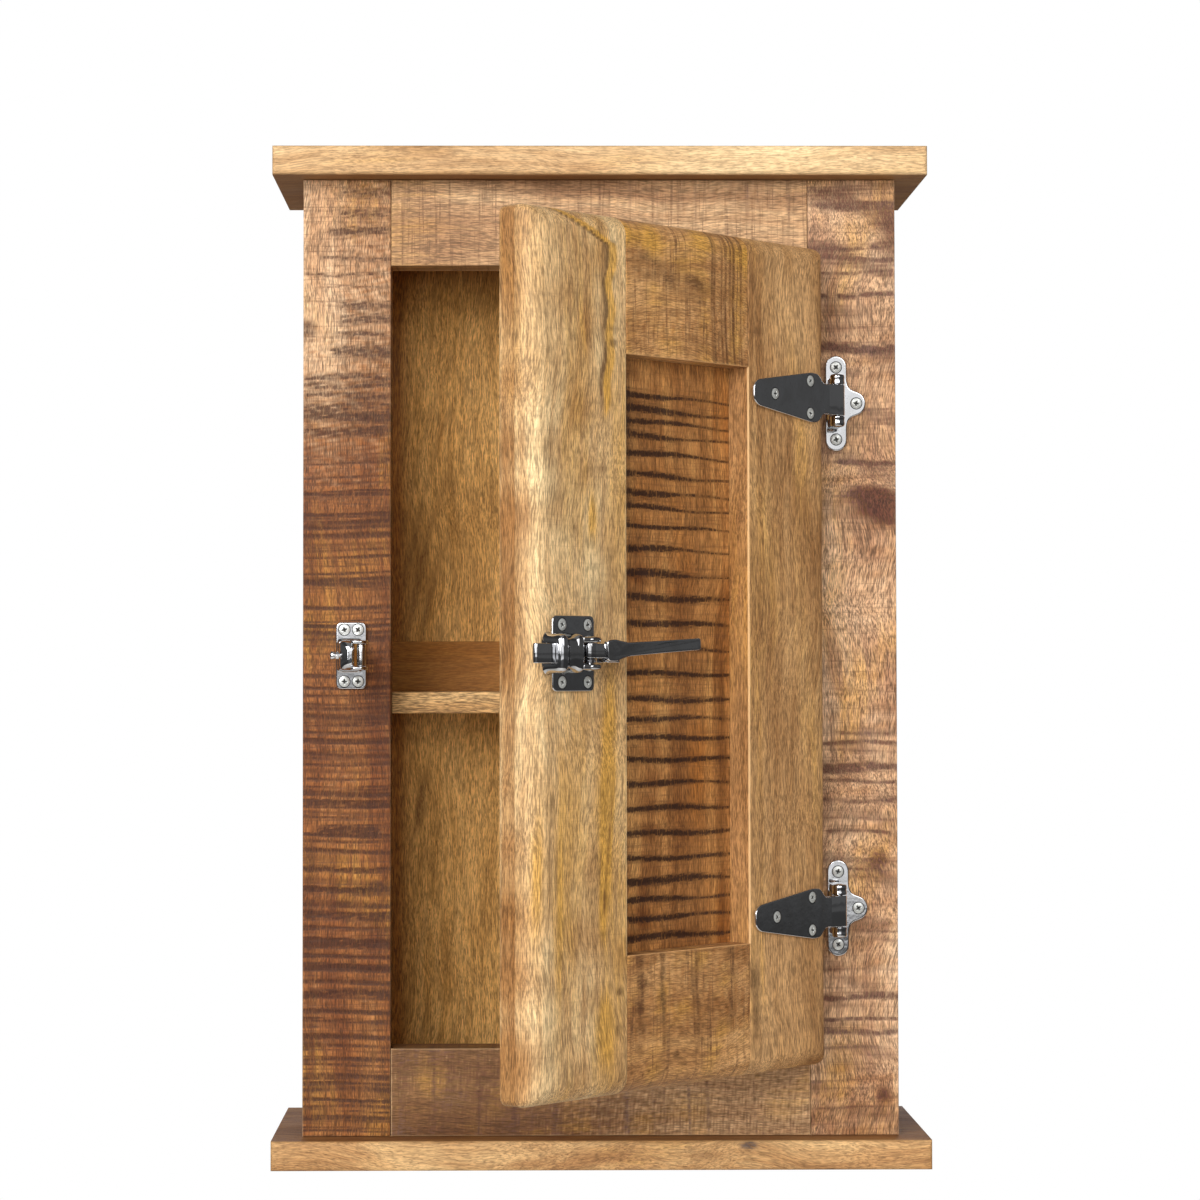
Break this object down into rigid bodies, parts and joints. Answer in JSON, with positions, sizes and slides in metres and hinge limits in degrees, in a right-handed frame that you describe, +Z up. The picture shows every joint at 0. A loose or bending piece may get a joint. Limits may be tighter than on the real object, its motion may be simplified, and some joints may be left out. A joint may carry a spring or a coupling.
{
  "type": "hanging wall cabinet",
  "caption": "Shallow wooden wall cabinet with overhanging top and bottom, a shelf, and a thick framed door on strap hinges with a lever latch and roller keeper.",
  "frame": {"origin": "middle of the back panel's rear face, on the wall plane", "axes": "+X to the right seen from the front, -Y out of the front, +Z up"},
  "size_m": [0.45, 0.4331, 0.7],
  "materials": {
    "plate_wood": "waxed mango wood, light honey, planed",
    "side_wood": "waxed mango wood",
    "stile_wood": "waxed mango wood with dark saw marks, edges planed",
    "rail_wood": "waxed mango wood with fine saw marks",
    "back_wood": "veneered board, oiled",
    "shelf_wood": "waxed mango wood, light honey",
    "door_stile_wood": "waxed mango wood, golden, with greenish streaks",
    "door_rail_wood": "waxed mango wood with saw marks",
    "door_panel_wood": "waxed mango wood with strong dark saw stripes",
    "chrome": "polished cast hardware",
    "screw_steel": "bright zinc-plated cross-recess screws",
    "hanger_steel": "yellow zinc-plated sheet",
    "spring_steel": "spring wire"
  },
  "bodies": {
    "cabinet": {"top_plate": "plate_wood", "bottom_plate": "plate_wood", "side_left": "side_wood", "side_right": "side_wood", "stile_left": "stile_wood", "stile_right": "stile_wood", "rail_top": "rail_wood", "rail_bottom": "rail_wood", "back_panel": "back_wood", "back_rail": "back_wood", "shelf": "shelf_wood", "shelf_cleat_left": "shelf_wood", "shelf_cleat_right": "shelf_wood", "hanger_left": "hanger_steel", "hanger_right": "hanger_steel", "hanger_screw_left_upper": "screw_steel", "hanger_screw_left_lower": "screw_steel", "hanger_screw_right_upper": "screw_steel", "hanger_screw_right_lower": "screw_steel", "hinge_plate_upper": "chrome", "hinge_plate_lower": "chrome", "hinge_pin_upper": "chrome", "hinge_pin_lower": "chrome", "hinge_plate_screw_upper_upper": "screw_steel", "hinge_plate_screw_upper_lower": "screw_steel", "hinge_plate_screw_upper_side": "screw_steel", "hinge_plate_screw_lower_upper": "screw_steel", "hinge_plate_screw_lower_lower": "screw_steel", "hinge_plate_screw_lower_side": "screw_steel", "keeper_body": "chrome", "keeper_roller_pin": "chrome", "keeper_adjuster": "chrome", "keeper_screw_upper_left": "screw_steel", "keeper_screw_upper_right": "screw_steel", "keeper_screw_lower_left": "screw_steel", "keeper_screw_lower_right": "screw_steel"},
    "door": {"door_stile_latch": "door_stile_wood", "door_stile_hinge": "door_stile_wood", "door_rail_top": "door_rail_wood", "door_rail_bottom": "door_rail_wood", "door_panel": "door_panel_wood", "hinge_strap_upper": "chrome", "hinge_strap_lower": "chrome", "hinge_strap_screw_upper_tip": "screw_steel", "hinge_strap_screw_upper_top": "screw_steel", "hinge_strap_screw_upper_bottom": "screw_steel", "hinge_strap_screw_lower_tip": "screw_steel", "hinge_strap_screw_lower_top": "screw_steel", "hinge_strap_screw_lower_bottom": "screw_steel", "latch_body": "chrome", "latch_pin": "chrome", "lever_spring": "spring_steel", "latch_screw_upper_left": "screw_steel", "latch_screw_upper_right": "screw_steel", "latch_screw_lower_left": "screw_steel", "latch_screw_lower_right": "screw_steel"},
    "lever": {"latch_lever": "chrome"},
    "bolt": {"latch_bolt": "chrome"},
    "roller": {"keeper_roller": "chrome"}
  },
  "joints": [
    {"name": "door_hinge", "type": "hinge", "parent": "cabinet", "child": "door", "pos_m": [0.162, -0.183, 0], "axis": [0, 0, 1], "range_deg": [-48.2, 121.8]},
    {"name": "lever_turn", "type": "hinge", "parent": "door", "child": "lever", "pos_m": [-0.01247, -0.39764, 0], "axis": [0, 0, -1], "range_deg": [0, 35], "stiffness_Nm_per_rad": 0.15, "springref_deg": -17.19},
    {"name": "bolt_slide", "type": "slide", "parent": "door", "child": "bolt", "axis": [0.6665, 0.7455, 0], "range_m": [0, 0.0061]},
    {"name": "roller_spin", "type": "hinge", "parent": "cabinet", "child": "roller", "pos_m": [-0.1627, -0.1996, 0], "axis": [0, 0, 1], "continuous": true}
  ],
  "couplings": [
    {"joint": "bolt_slide", "follows": "lever_turn", "m_per_rad": 0.00982}
  ]
}
